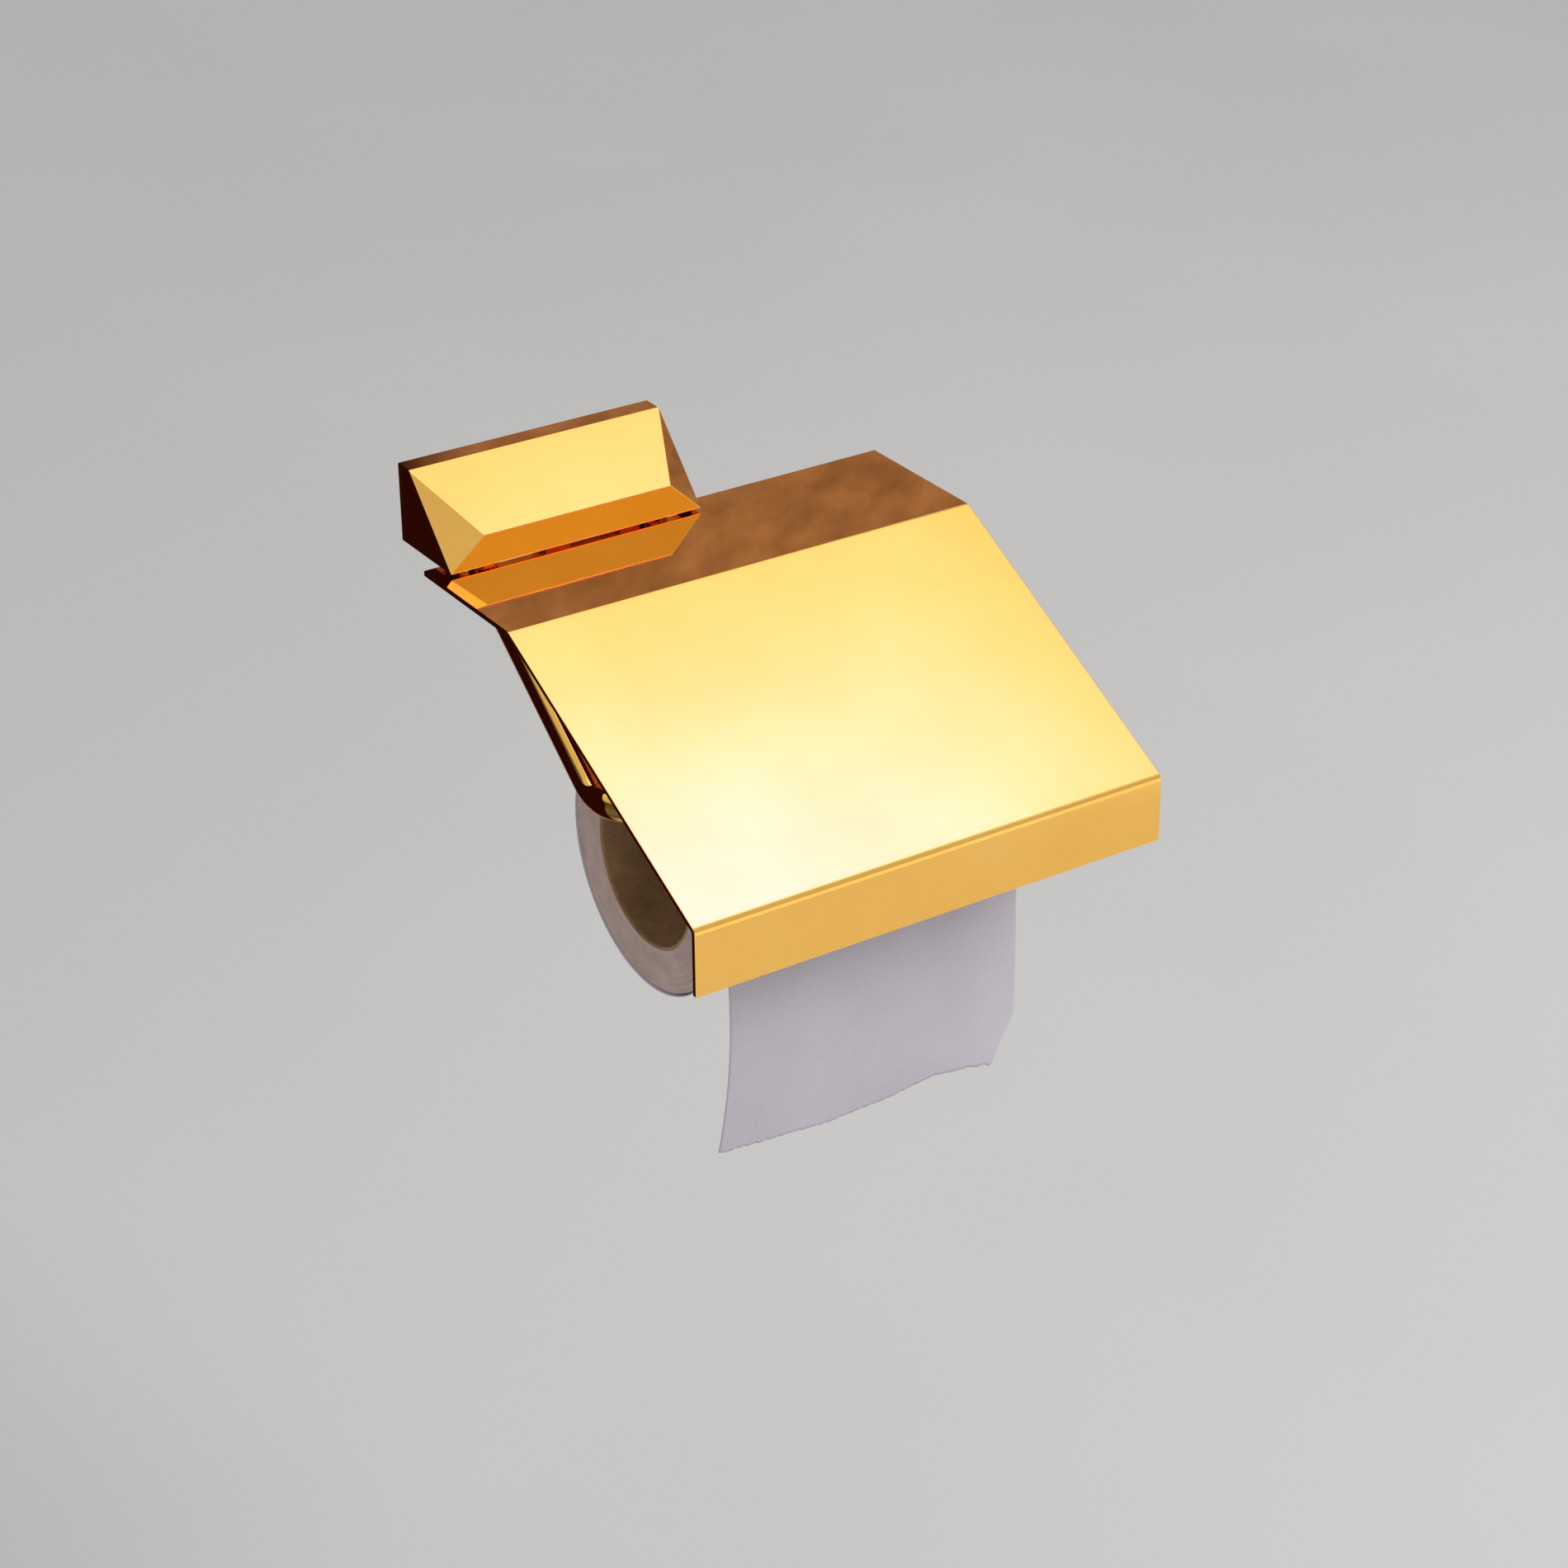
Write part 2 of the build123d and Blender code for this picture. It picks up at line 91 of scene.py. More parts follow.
class Graph:
    """Small helper that adds and joins nodes of one material or world."""

    def __init__(self, tree):
        self.nodes = tree.nodes
        self.links = tree.links
        self.nodes.clear()

    def add(self, kind, inputs=None, **settings):
        """Add a node, set its properties, and set or link its inputs by name or number."""
        node = self.nodes.new(kind)
        for key, value in settings.items():
            setattr(node, key, value)
        for key, value in (inputs or {}).items():
            if isinstance(value, bpy.types.NodeSocket):
                self.links.new(value, node.inputs[key])
            else:
                node.inputs[key].default_value = value
        return node

    def math(self, operation, *values):
        """Result of a math node."""
        return self.add("ShaderNodeMath", dict(enumerate(values)), operation=operation).outputs[0]

    def place(self):
        """Position on the piece, in metres."""
        return self.add("ShaderNodeTexCoord").outputs["Object"]

    def noise(self, vector, scale, detail=2.0, roughness=0.5):
        """Noise value between 0 and 1."""
        inputs = {"Vector": vector, "Scale": scale, "Detail": detail, "Roughness": roughness}
        return self.add("ShaderNodeTexNoise", inputs).outputs["Fac"]

    def stretch(self, vector, scale):
        """The vector with its three parts scaled."""
        return self.add("ShaderNodeMapping", {"Vector": vector, "Scale": scale}).outputs[0]

    def ramp(self, value, *stops):
        """Colour ramp through stops, each a position and a colour or a grey."""
        node = self.add("ShaderNodeValToRGB", {"Fac": value})
        elements = node.color_ramp.elements
        while len(elements) < len(stops):
            elements.new(0.5)
        for element, (position, color) in zip(elements, stops):
            element.position = position
            element.color = (*color, 1) if hasattr(color, "__len__") else (color, color, color, 1)
        return node.outputs["Color"]

    def between(self, value, low, high):
        """Spread a value of 0 to 1 over low to high."""
        node = self.add("ShaderNodeMapRange", {"Value": value, "To Min": low, "To Max": high})
        return node.outputs["Result"]

    def bump(self, height, distance, strength=1.0, normal=None):
        """Surface normal from a height of 0 to 1 that stands for distance metres."""
        inputs = {"Height": height, "Distance": distance, "Strength": strength}
        if normal:
            inputs["Normal"] = normal
        return self.add("ShaderNodeBump", inputs).outputs["Normal"]

    def principled(self, **inputs):
        """Principled shader joined to the output; underscores in names stand for spaces."""
        out = self.add("ShaderNodeOutputMaterial")
        named = {key.replace("_", " "): value for key, value in inputs.items()}
        shader = self.add("ShaderNodeBsdfPrincipled", named)
        self.links.new(shader.outputs[0], out.inputs["Surface"])


def new_material(name):
    """Node material and the graph that fills it."""
    material = bpy.data.materials.new(name)
    material.use_nodes = True
    return material, Graph(material.node_tree)


# ---- materials ----------------------------------------------------------------------------------------

GOLD = (1.0, 0.575, 0.135)
GOLD_DEEP = (0.97, 0.54, 0.115)


def gold_material():
    """Polished gold plate: a soft drift of tone, a haze of rubbing marks and a slight unevenness."""
    material, g = new_material("polished_gold")
    place = g.place()
    tone = g.ramp(g.noise(place, 22.0, 3.0), (0.35, GOLD_DEEP), (0.65, GOLD))
    haze = g.noise(place, 130.0, 6.0, 0.65)
    lines = g.noise(g.stretch(place, (60.0, 1500.0, 1500.0)), 1.0, 4.0)
    soft = g.bump(g.noise(place, 34.0, 1.0), 0.00004)
    fine = g.bump(lines, 0.0000015, normal=soft)
    rough = g.between(g.math("MULTIPLY", haze, lines), 0.03, 0.12)
    g.principled(Base_Color=tone, Metallic=1.0, Roughness=rough, Normal=fine)
    return material


def zinc_material():
    """Zinc-plated sheet steel: cool grey with a faint cloudy passivation and a rolled grain."""
    material, g = new_material("zinc_plate")
    place = g.place()
    cloud = g.noise(place, 90.0, 4.0)
    tone = g.ramp(
        cloud, (0.3, (0.50, 0.52, 0.55)), (0.55, (0.62, 0.62, 0.60)), (0.75, (0.56, 0.60, 0.66))
    )
    grain = g.noise(g.stretch(place, (120.0, 4000.0, 4000.0)), 1.0, 3.0)
    rough = g.between(grain, 0.28, 0.45)
    g.principled(Base_Color=tone, Metallic=1.0, Roughness=rough, Normal=g.bump(grain, 0.000006))
    return material


def screw_material():
    """Machined, bright-plated steel of screws, nut, washer, pin and clips, with turning marks."""
    material, g = new_material("machined_steel")
    place = g.place()
    marks = g.noise(g.stretch(place, (2500.0, 400.0, 2500.0)), 1.0, 2.0)
    tone = g.ramp(g.noise(place, 300.0, 3.0), (0.35, (0.42, 0.42, 0.44)), (0.65, (0.58, 0.58, 0.59)))
    rough = g.between(marks, 0.2, 0.42)
    g.principled(Base_Color=tone, Metallic=1.0, Roughness=rough, Normal=g.bump(marks, 0.000008))
    return material


def nylon_material():
    """Off-white nylon with a slight grain."""
    material, g = new_material("nylon")
    grain = g.noise(g.place(), 900.0, 3.0)
    tone = g.ramp(grain, (0.3, (0.72, 0.71, 0.66)), (0.7, (0.80, 0.79, 0.75)))
    g.principled(
        Base_Color=tone,
        Roughness=g.between(grain, 0.38, 0.55),
        Normal=g.bump(grain, 0.00001),
        Subsurface_Weight=0.1,
    )
    return material


def rubber_material():
    """Black rubber with a dusty bloom."""
    material, g = new_material("rubber")
    bloom = g.noise(g.place(), 700.0, 5.0)
    tone = g.ramp(bloom, (0.35, (0.018, 0.018, 0.018)), (0.75, (0.06, 0.058, 0.055)))
    g.principled(Base_Color=tone, Roughness=g.between(bloom, 0.6, 0.85), Normal=g.bump(bloom, 0.00003))
    return material


def cardboard_material():
    """Grey-brown board of the roll's tube: long fibres, specks and a soft mottle."""
    material, g = new_material("core_board")
    place = g.place()
    fibres = g.noise(g.stretch(place, (500.0, 2600.0, 2600.0)), 1.0, 5.0, 0.7)
    cloud = g.noise(place, 110.0, 3.0)
    tone = g.ramp(
        g.math("MULTIPLY_ADD", cloud, 0.5, g.math("MULTIPLY", fibres, 0.5)),
        (0.30, (0.22, 0.135, 0.070)),
        (0.50, (0.38, 0.235, 0.120)),
        (0.70, (0.52, 0.350, 0.190)),
    )
    g.principled(
        Base_Color=tone,
        Roughness=g.between(fibres, 0.82, 0.98),
        Normal=g.bump(fibres, 0.00008),
        Specular_IOR_Level=0.15,
    )
    return material


TISSUE = (0.665, 0.630, 0.700)
TISSUE_SHADE = (0.605, 0.570, 0.640)


def tissue_material():
    """Soft two-ply paper: embossed with small pillows, with a fibrous, slightly cloudy surface."""
    material, g = new_material("embossed_tissue")
    place = g.place()
    cells = g.add(
        "ShaderNodeTexVoronoi",
        {"Vector": place, "Scale": 520.0, "Randomness": 0.7},
        feature="DISTANCE_TO_EDGE",
    ).outputs["Distance"]
    pillows = g.add(
        "ShaderNodeMapRange", {"Value": cells, "From Max": 0.22}, interpolation_type="SMOOTHSTEP"
    )
    fibres = g.noise(place, 2600.0, 5.0, 0.7)
    cloud = g.noise(place, 60.0, 3.0)
    tone = g.ramp(
        g.math("MULTIPLY_ADD", cloud, 0.6, g.math("MULTIPLY", fibres, 0.4)), (0.3, TISSUE_SHADE), (0.7, TISSUE)
    )
    embossed = g.bump(pillows.outputs["Result"], 0.00003)
    g.principled(
        Base_Color=tone,
        Roughness=g.between(fibres, 0.88, 1.0),
        Normal=g.bump(fibres, 0.00002, normal=embossed),
        Specular_IOR_Level=0.1,
        Sheen_Weight=0.15,
    )
    return material


def wound_edge_material(middle):
    """Cut ends of the wound paper: fine turns with painted shade between them, and darker and greyer than the
    sheet, partly for the cut layers and partly as painted shade of the roll's end.
    """
    material, g = new_material("wound_edges")
    place = g.place()
    split = g.add("ShaderNodeSeparateXYZ", {"Vector": place})
    out = g.math("SUBTRACT", split.outputs["Y"], middle[1])
    up = g.math("SUBTRACT", split.outputs["Z"], middle[2])
    far = g.math("SQRT", g.math("ADD", g.math("POWER", out, 2.0), g.math("POWER", up, 2.0)))
    across = {"X": g.math("MULTIPLY", far, 5200.0), "Y": g.math("MULTIPLY", up, 60.0)}
    turns = g.noise(g.add("ShaderNodeCombineXYZ", across).outputs[0], 1.0, 3.0)
    cloud = g.noise(place, 150.0, 3.0)
    # Painted shade: the ends are coloured darker than the sheet for the shade on the roll's end, and darker still
    # between the turns
    tone = g.ramp(
        g.math("MULTIPLY_ADD", cloud, 0.35, g.math("MULTIPLY", turns, 0.65)),
        (0.32, (0.42, 0.320, 0.285)),
        (0.55, (0.60, 0.460, 0.410)),
        (0.72, (0.70, 0.560, 0.510)),
    )
    g.principled(Base_Color=tone, Roughness=0.95, Normal=g.bump(turns, 0.00012), Specular_IOR_Level=0.1)
    return material


def dress(node, material):
    """Give a CAD node its material."""
    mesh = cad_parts[node].data
    mesh.materials.clear()
    mesh.materials.append(material)


# ---- studio -------------------------------------------------------------------------------------------

def stage_mesh(name, corners, faces, material):
    """Floor or card, which isn't part of the object."""
    mesh = bpy.data.meshes.new(name)
    mesh.from_pydata(corners, [], faces)
    mesh.materials.append(material)
    obj = bpy.data.objects.new(name, mesh)
    bpy.context.scene.collection.objects.link(obj)
    return obj


def only_in_reflections(obj):
    """Let a card show in polished metal alone, and light nothing."""
    obj.visible_camera = False
    obj.visible_diffuse = False
    obj.visible_shadow = False
    obj.visible_transmission = False
    obj.visible_volume_scatter = False


def glow_material(name, paint, strength):
    """Glowing card whose colour is what paint makes in its graph."""
    material, g = new_material(name)
    out = g.add("ShaderNodeOutputMaterial")
    glow = g.add("ShaderNodeEmission", {"Color": paint(g), "Strength": strength})
    g.links.new(glow.outputs[0], out.inputs["Surface"])
    material.cycles.emission_sampling = "NONE"
    return material


FLOOR_DROP = 0.25       # below the holder's lowest point
FLOOR_HALF = 6.0


def make_floor():
    """Plain pale floor, well below the holder, left out of the reflections."""
    material, g = new_material("floor")
    tone = g.ramp(g.noise(g.place(), 3.0), (0.4, 0.78), (0.6, 0.80))
    g.principled(Base_Color=tone, Roughness=0.95, Specular_IOR_Level=0.0)
    level = CAD_BOX[0].z - FLOOR_DROP
    corners = [(FLOOR_HALF * x, FLOOR_HALF * y, level) for x, y in ((-1, -1), (1, -1), (1, 1), (-1, 1))]
    stage_mesh("floor", corners, [(0, 1, 2, 3)], material).visible_glossy = False


WALL_HALF = 1.2
WALL_BOTTOM = -0.35
WALL_TOP = 0.055
WALL_AT = 0.003         # just behind the plane that the holder is fixed to


def rectangle(left, right, bottom, top):
    """Corners of an upright rectangle at the wall card's place."""
    return [(x, WALL_AT, z) for x, z in ((left, bottom), (right, bottom), (right, top), (left, top))]


def make_wall_card():
    """Brown stone-like card where the wall would be, open behind the base, seen only in the metal, with a painted
    shadow that turns it near black left of the base.
    """

    def paint(g):
        place = g.place()
        split = g.add("ShaderNodeSeparateXYZ", {"Vector": place})
        clouds = g.noise(g.stretch(place, (60.0, 60.0, 90.0)), 1.0, 4.0, 0.6)
        # Painted shadow: left of the base the card fades to near black, standing for the wall's shade there
        across = g.add(
            "ShaderNodeMapRange",
            {"Value": split.outputs["X"], "From Min": -0.044, "From Max": -0.012},
            interpolation_type="SMOOTHSTEP",
        ).outputs["Result"]
        mottle_with_painted_shadow = g.math("MULTIPLY", across, g.between(clouds, 0.30, 1.75))
        return g.ramp(
            g.math("MULTIPLY", mottle_with_painted_shadow, 0.5),
            (0.0, (0.020, 0.004, 0.002)),
            (0.5, (0.31, 0.19, 0.17)),
            (1.0, (0.62, 0.42, 0.38)),
        )

    low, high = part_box("base_cover")
    outer = rectangle(-WALL_HALF, WALL_HALF, WALL_BOTTOM, WALL_TOP)
    inner = rectangle(low[0], high[0], low[2], high[2])
    faces = [(i, (i + 1) % 4, 4 + (i + 1) % 4, 4 + i) for i in range(4)]
    material = glow_material("wall_card", paint, 1.0)
    only_in_reflections(stage_mesh("wall_card", outer + inner, faces, material))


DOME_R = 0.6
DOME_GLOW = 6.0
DOME_LEAN = 0.20                # how much the lower half's bands sink towards the right
SPOT_AT = (0.24, -0.155)        # X and Y of the bright spot overhead
SPOT_SIZE = (0.20, 0.105)
SPOT_FALL = 1.4
SPOT_GLOW = 0.80
FLAG_X = (-0.12, -0.34)         # where the dark flag starts and is full, leftwards and downwards
FLAG_Z = (0.30, 0.16)
FLAG_DARK = 0.85


def make_dome():
    """Soft studio dome close round the holder, brightest overhead, seen only in the metal."""

    def paint(g):
        split = g.add("ShaderNodeSeparateXYZ", {"Vector": g.place()})
        above = g.math("GREATER_THAN", split.outputs["Z"], 0.0)
        lean = g.math("MULTIPLY", split.outputs["X"], g.math("MULTIPLY_ADD", above, DOME_LEAN, -DOME_LEAN))
        level = g.math("ADD", split.outputs["Z"], lean)
        sky = g.ramp(
            g.math("MULTIPLY_ADD", level, 0.5 / DOME_R, 0.5),
            (0.0, 0.10),
            (0.233, 0.134),
            (0.247, 0.195),
            (0.50, 0.165),
            (0.55, 0.112),
            (0.62, 0.100),
            (0.76, 0.122),
            (0.85, 0.108),
            (0.89, 0.245),
            (1.0, 0.265),
        )
        along, out = (
            g.math("DIVIDE", g.math("SUBTRACT", split.outputs[axis], at), size)
            for axis, at, size in zip("XY", SPOT_AT, SPOT_SIZE)
        )
        away = g.math("ADD", g.math("MULTIPLY", along, along), g.math("MULTIPLY", out, out))
        spot = g.math("MULTIPLY", g.math("EXPONENT", g.math("MULTIPLY", away, -SPOT_FALL)), above)
        glow = g.math("MULTIPLY_ADD", spot, SPOT_GLOW, sky)
        # A dark flag low on the left keeps the arm dark
        leftward = g.add(
            "ShaderNodeMapRange",
            {"Value": split.outputs["X"], "From Min": FLAG_X[0], "From Max": FLAG_X[1]},
            interpolation_type="SMOOTHSTEP",
        ).outputs["Result"]
        low_down = g.add(
            "ShaderNodeMapRange",
            {"Value": split.outputs["Z"], "From Min": FLAG_Z[0], "From Max": FLAG_Z[1]},
            interpolation_type="SMOOTHSTEP",
        ).outputs["Result"]
        flag = g.math("MULTIPLY", leftward, low_down)
        glow = g.math("MULTIPLY", glow, g.math("MULTIPLY_ADD", flag, -FLAG_DARK, 1.0))
        # The brightest parts are cooler, so that the gold pales towards cream there
        return g.ramp(
            glow,
            (0.0, (0.0, 0.0, 0.0)),
            (0.20, (0.20, 0.20, 0.20)),
            (0.32, (0.32, 0.234, 0.32)),
            (0.58, (0.58, 0.270, 0.58)),
            (1.0, (1.0, 0.292, 1.0)),
        )

    rings, segments = 32, 64
    corners = [
        (
            DOME_R * math.cos(math.tau * j / segments) * math.sin(math.pi * i / rings),
            DOME_R * math.sin(math.tau * j / segments) * math.sin(math.pi * i / rings),
            DOME_R * math.cos(math.pi * i / rings),
        )
        for i in range(rings + 1)
        for j in range(segments)
    ]
    faces = [
        (
            i * segments + j,
            i * segments + (j + 1) % segments,
            (i + 1) * segments + (j + 1) % segments,
            (i + 1) * segments + j,
        )
        for i in range(rings)
        for j in range(segments)
    ]
    only_in_reflections(stage_mesh("dome", corners, faces, glow_material("dome", paint, DOME_GLOW)))


def make_lamp(name, at, size, power, color):
    """Large soft lamp aimed at the holder, kept out of the reflections."""
    data = bpy.data.lights.new(name, "AREA")
    data.shape = "SQUARE"
    data.size = size
    data.energy = power
    data.color = color
    lamp = bpy.data.objects.new(name, data)
    bpy.context.scene.collection.objects.link(lamp)
    aim = Vector((CAD_BOX[0] + CAD_BOX[1]) / 2) - Vector(at)
    lamp.location = at
    lamp.rotation_mode = "QUATERNION"
    lamp.rotation_quaternion = aim.to_track_quat("-Z", "Y")
    lamp.visible_glossy = False


def make_studio():
    """Pale floor, even soft light, and what the polished metal mirrors."""
    scene = bpy.context.scene
    scene.view_settings.view_transform = "Standard"
    world = bpy.data.worlds.new("studio")
    world.use_nodes = True
    g = Graph(world.node_tree)
    out = g.add("ShaderNodeOutputWorld")
    light = g.add("ShaderNodeBackground", {"Color": (1.0, 0.99, 0.985, 1), "Strength": 0.5})
    g.links.new(light.outputs[0], out.inputs["Surface"])
    scene.world = world
    make_floor()
    make_wall_card()
    make_dome()
    make_lamp("key", at=(1.1, -1.2, 1.2), size=1.0, power=19.0, color=(1.0, 0.99, 0.97))


# ---- paper --------------------------------------------------------------------------------------------

ROLL_LOW, ROLL_HIGH = (Vector(corner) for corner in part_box("paper_roll"))
CORE_LOW, CORE_HIGH = (Vector(corner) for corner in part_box("roll_core"))
ROLL_MIDDLE = (ROLL_LOW + ROLL_HIGH) / 2
ROLL_R = (ROLL_HIGH.z - ROLL_LOW.z) / 2
CORE_R = (CORE_HIGH.z - CORE_LOW.z) / 2
CORE_WALL = 0.8 * MM
PAPER_GAP = 0.05 * MM


def make_piece(name, verts, faces, materials, body, replaced):
    """New mesh piece that rides on a body and stands for a CAD node."""
    mesh = bpy.data.meshes.new(name)
    mesh.from_pydata(verts, [], faces)
    mesh.update()
    for material in materials:
        mesh.materials.append(material)
    mesh.polygons.foreach_set("use_smooth", [True] * len(mesh.polygons))
    obj = bpy.data.objects.new(name, mesh)
    bpy.context.scene.collection.objects.link(obj)
    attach(obj, body)
    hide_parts(replaced)
    return obj


def ring_faces(rings, segments):
    """Quads between rings of equally many points, where the last ring joins the first."""
    return [
        (
            i * segments + j,
            i * segments + (j + 1) % segments,
            ((i + 1) % rings) * segments + (j + 1) % segments,
            ((i + 1) % rings) * segments + j,
        )
        for i in range(rings)
        for j in range(segments)
    ]


def around(x, radius, turn):
    """Point at a radius and a turn about the roll's centre line."""
    return (x, ROLL_MIDDLE.y - radius * math.cos(turn), ROLL_MIDDLE.z + radius * math.sin(turn))


LAYER_PITCH = 0.62 * MM
LAYER_DEPTH = 0.10 * MM
END_WAVE = 0.22 * MM
END_ROUND = 0.6 * MM
OUTSIDE_DENT = 0.12 * MM


def end_depth(radius, turn, side):
    """How far the wound end lies inside the roll's end plane: spiral turns on a slow, uneven wave."""
    turns = (radius - CORE_R) / LAYER_PITCH - side * turn / math.tau
    ridge = 0.5 + 0.5 * math.cos(math.tau * turns)
    wave = noise.noise(Vector((radius * 420, side * 3.0, 0.7)))
    swing = noise.noise(Vector((math.cos(turn) * 1.3, math.sin(turn) * 1.3, radius * 160 + side * 9)))
    uneven = (0.5 + 0.5 * wave) + 0.5 * (0.5 + 0.5 * swing)
    return LAYER_DEPTH * (1 - ridge) + END_WAVE * uneven


def make_wound_paper(sheet, edges):
    """The wound roll: its cut ends show spiral turns, and its outside is soft and slightly uneven."""
    segments, radial, along = 180, 84, 48
    inner = CORE_R + PAPER_GAP
    outer = ROLL_R
    profile = []
    for i in range(radial + 1):
        profile.append((-1, inner + (outer - END_ROUND - inner) * i / radial))
    for i in range(1, along):
        profile.append((2 * i / along - 1, outer))
    for i in range(radial + 1):
        profile.append((1, outer - END_ROUND - (outer - END_ROUND - inner) * i / radial))
    half = (ROLL_HIGH.x - ROLL_LOW.x) / 2
    verts = []
    for place, radius in profile:
        for j in range(segments):
            turn = math.tau * j / segments
            if abs(place) == 1:
                x = ROLL_MIDDLE.x + place * (half - end_depth(radius, turn, place))
                r = radius
            else:
                x = ROLL_MIDDLE.x + place * (half - END_ROUND * 0.4)
                dent = noise.noise(Vector((place * 2.2, math.cos(turn) * 1.6, math.sin(turn) * 1.6)))
                r = radius - OUTSIDE_DENT * (0.5 + 0.5 * dent)
            verts.append(around(x, r, turn))
    faces = ring_faces(len(profile), segments)
    roll = make_piece("wound_paper", verts, faces, [sheet, edges], "roll", "paper_roll")
    ends = 2 * (radial + 1)
    for k, face in enumerate(roll.data.polygons):
        ring = k // segments
        face.material_index = 1 if ring < radial or radial + along <= ring < ends + along - 2 else 0
    return roll


SEAM_LEAD = 62.0 * MM
SEAM_WIDTH = 1.6 * MM
SEAM_DEPTH = 0.16 * MM
RAGGED_END = 0.18 * MM


def seam_step(x, turn, shift):
    """Depth of the tube's spiral seam, where one ply's edge meets the next."""
    phase = (x / SEAM_LEAD + turn / math.tau + shift) % 1.0
    near = min(phase, 1 - phase) * SEAM_LEAD / SEAM_WIDTH
    return SEAM_DEPTH * math.exp(-near * near * 4)


def make_core_tube(board):
    """Spiral-wound cardboard tube with a shallow seam groove and slightly ragged ends."""
    segments, along = 144, 90
    half = (CORE_HIGH.x - CORE_LOW.x) / 2
    rings = []
    for i in range(along + 1):
        rings.append((2 * i / along - 1, "in"))
    for i in range(along + 1):
        rings.append((1 - 2 * i / along, "out"))
    verts = []
    for place, face in rings:
        for j in range(segments):
            turn = math.tau * j / segments
            uneven = noise.noise(Vector((math.cos(turn) * 9, math.sin(turn) * 9, place * 4)))
            ragged = RAGGED_END * (0.5 + 0.5 * uneven)
            x = ROLL_MIDDLE.x + place * (half - ragged)
            if face == "in":
                r = CORE_R - CORE_WALL + seam_step(x, turn, 0.0)
            else:
                r = CORE_R - seam_step(x, turn, 0.5)
            verts.append(around(x, r, turn))
    faces = [tuple(reversed(face)) for face in ring_faces(len(rings), segments)]
    return make_piece("core_tube", verts, faces, [board], "roll", "roll_core")


SHEET_T = 0.24 * MM
SHEET_GAP = 0.12 * MM
LEAVES_AT = math.radians(25)            # where the sheet leaves the roll, above its front
WRAP_END = math.radians(352)            # how far its turn reaches back round the roll
# X and Z along the torn lower edge, in millimetres
TORN_EDGE = (
    (-17.8, -155.4), (2.0, -156.6), (18.0, -158.4), (33.0, -157.0), (52.0, -153.0), (63.0, -153.6), (71.5, -155.2)
)
TORN_CORNER_TOP = -140.5
HANGING_LENGTH = 94.0 * MM              # paper from where it leaves the roll to the lowest point of the tear
FALL_DEPTH = 89.4 * MM                  # drop over which the edges swing out as below
LEFT_FALL = (41.7, -52.9, 12.7)         # how the left edge swings out and back, in millimetres
RIGHT_OUT = 6.3                         # how far the right edge settles out, in millimetres


def torn_z(x_mm):
    """Level of the torn edge at x, with the small nicks of a tear."""
    points = TORN_EDGE
    z = points[-1][1]
    if x_mm >= points[-1][0]:
        right = ROLL_HIGH.x / MM
        share = (x_mm - points[-1][0]) / (right - points[-1][0])
        z += (TORN_CORNER_TOP - z) * share**0.85
    else:
        for (x0, z0), (x1, z1) in zip(points, points[1:]):
            if x0 <= x_mm <= x1:
                share = (x_mm - x0) / (x1 - x0)
                share = share * share * (3 - 2 * share) * 0.6 + share * 0.4
                z = z0 + (z1 - z0) * share
    nick = 0.55 * noise.noise(Vector((x_mm * 0.55, 3.1, 0))) + 0.35 * noise.noise(Vector((x_mm * 1.9, 8.4, 0)))
    return z + nick


def cut_area(width, length):
    """Flat area of the sheet: its full rectangle less what the tear leaves off above its lowest point."""
    steps = 200
    lowest = min(z for x, z in TORN_EDGE)
    places = (ROLL_LOW.x / MM + width / MM * (i + 0.5) / steps for i in range(steps))
    return width * length - sum(torn_z(x) - lowest for x in places) * MM * width / steps


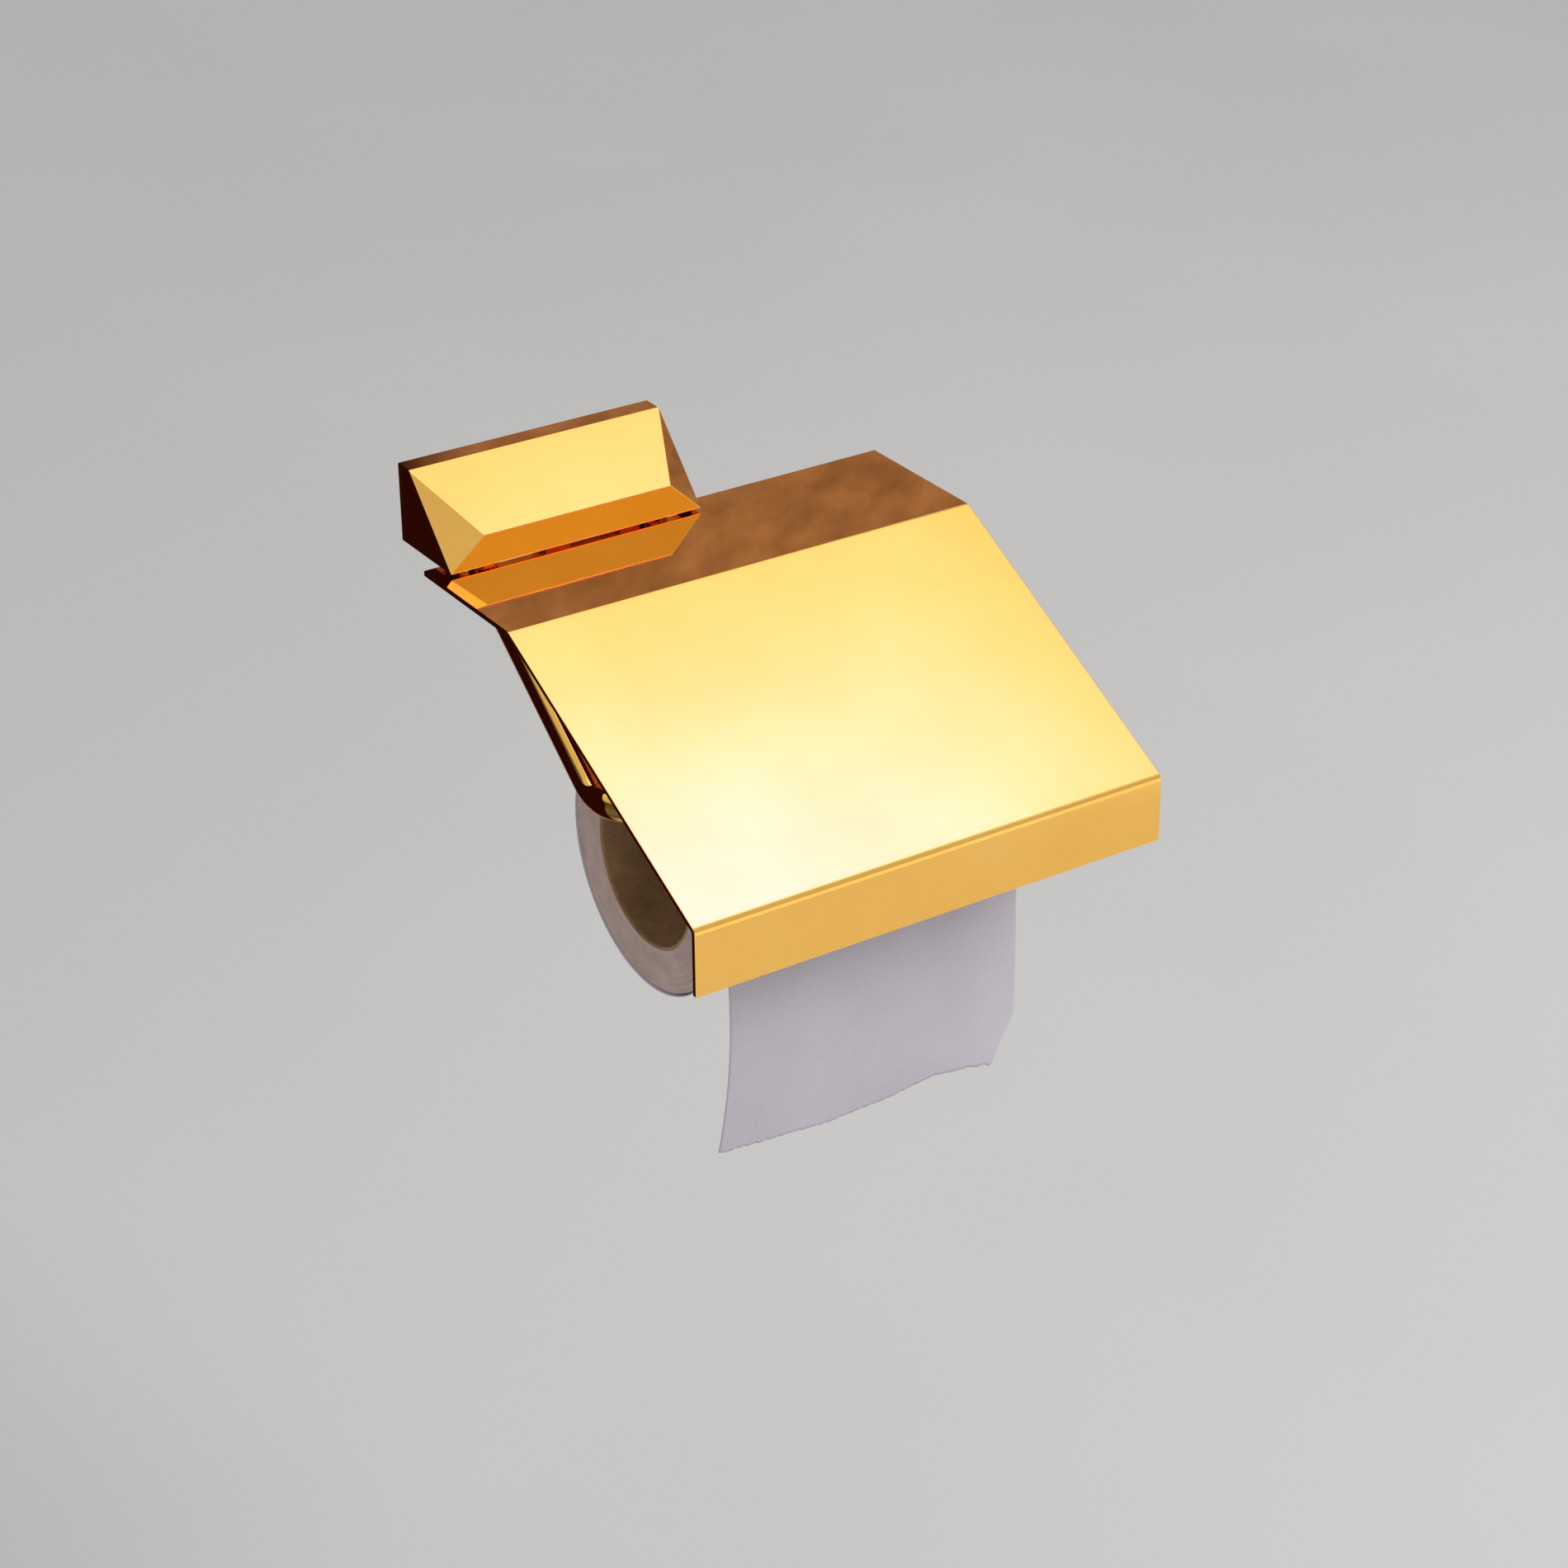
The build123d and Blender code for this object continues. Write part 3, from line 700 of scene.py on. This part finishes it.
def fall(depth, across):
    """How far the hanging sheet stands out beyond where it leaves the roll, in metres, at a depth below."""
    share = depth / FALL_DEPTH
    left = sum(k * share ** (n + 1) for n, k in enumerate(LEFT_FALL))
    right = RIGHT_OUT * (1 - math.exp(-LEFT_FALL[0] * share / RIGHT_OUT))
    blend = across * across * (3 - 2 * across)
    ripple = 0.8 * math.sin(math.tau * (1.35 * across + 0.1)) * share**2
    crumple = 0.35 * noise.noise(Vector((across * 5.0, share * 2.2, 4.4))) * min(1.0, share * 3)
    return ((1 - blend) * left + blend * right + ripple + crumple) * MM


def make_loose_end(tissue):
    """Loose end: a turn round the roll, then a free sheet that swings out, hangs and ends in a tear."""
    across_steps, wrap_steps, hang_steps = 150, 150, 90
    radius = ROLL_R + SHEET_GAP + SHEET_T / 2
    start = around(0, radius, LEAVES_AT)
    width = ROLL_HIGH.x - ROLL_LOW.x
    verts = []
    for i in range(wrap_steps + 1):
        turn = WRAP_END + (LEAVES_AT - WRAP_END) * i / wrap_steps
        for j in range(across_steps + 1):
            verts.append(around(ROLL_LOW.x + width * j / across_steps, radius, turn))
    for i in range(1, hang_steps + 1):
        share = i / hang_steps
        for j in range(across_steps + 1):
            across = j / across_steps
            x = ROLL_LOW.x + width * across
            bottom = torn_z(x / MM) * MM
            z = start[2] + (bottom - start[2]) * share
            verts.append((x, start[1] - fall(start[2] - z, across), z))
    row = across_steps + 1
    faces = [
        (i * row + j, i * row + j + 1, (i + 1) * row + j + 1, (i + 1) * row + j)
        for i in range(wrap_steps + hang_steps)
        for j in range(across_steps)
    ]
    sheet = make_piece("loose_sheet", verts, faces, [tissue], "loose_end", "paper_tail")
    solid = sheet.modifiers.new("thickness", "SOLIDIFY")
    solid.thickness = SHEET_T
    solid.offset = 0
    length = radius * (WRAP_END - LEAVES_AT) + HANGING_LENGTH
    cut_area(width, length)
    return sheet


# ---- pieces -------------------------------------------------------------------------------------------

make_camera()
make_studio()

FINISHES = {
    gold_material: (
        "base_cover", "lid_plate", "paper_arm", "arm_end_button", "hinge_bracket", "lid_hinge_leaf"
    ),
    zinc_material: ("wall_plate",),
    screw_material: ("base_set_screws", "arm_washer", "arm_nut", "bracket_screws", "hinge_pin", "pin_clips"),
    nylon_material: ("hinge_washers",),
    rubber_material: ("lid_buffers",),
}
for make_finish, names in FINISHES.items():
    finish = make_finish()
    for name in names:
        dress(name, finish)

tissue = tissue_material()
make_core_tube(cardboard_material())
make_wound_paper(tissue, wound_edge_material(ROLL_MIDDLE))
make_loose_end(tissue)
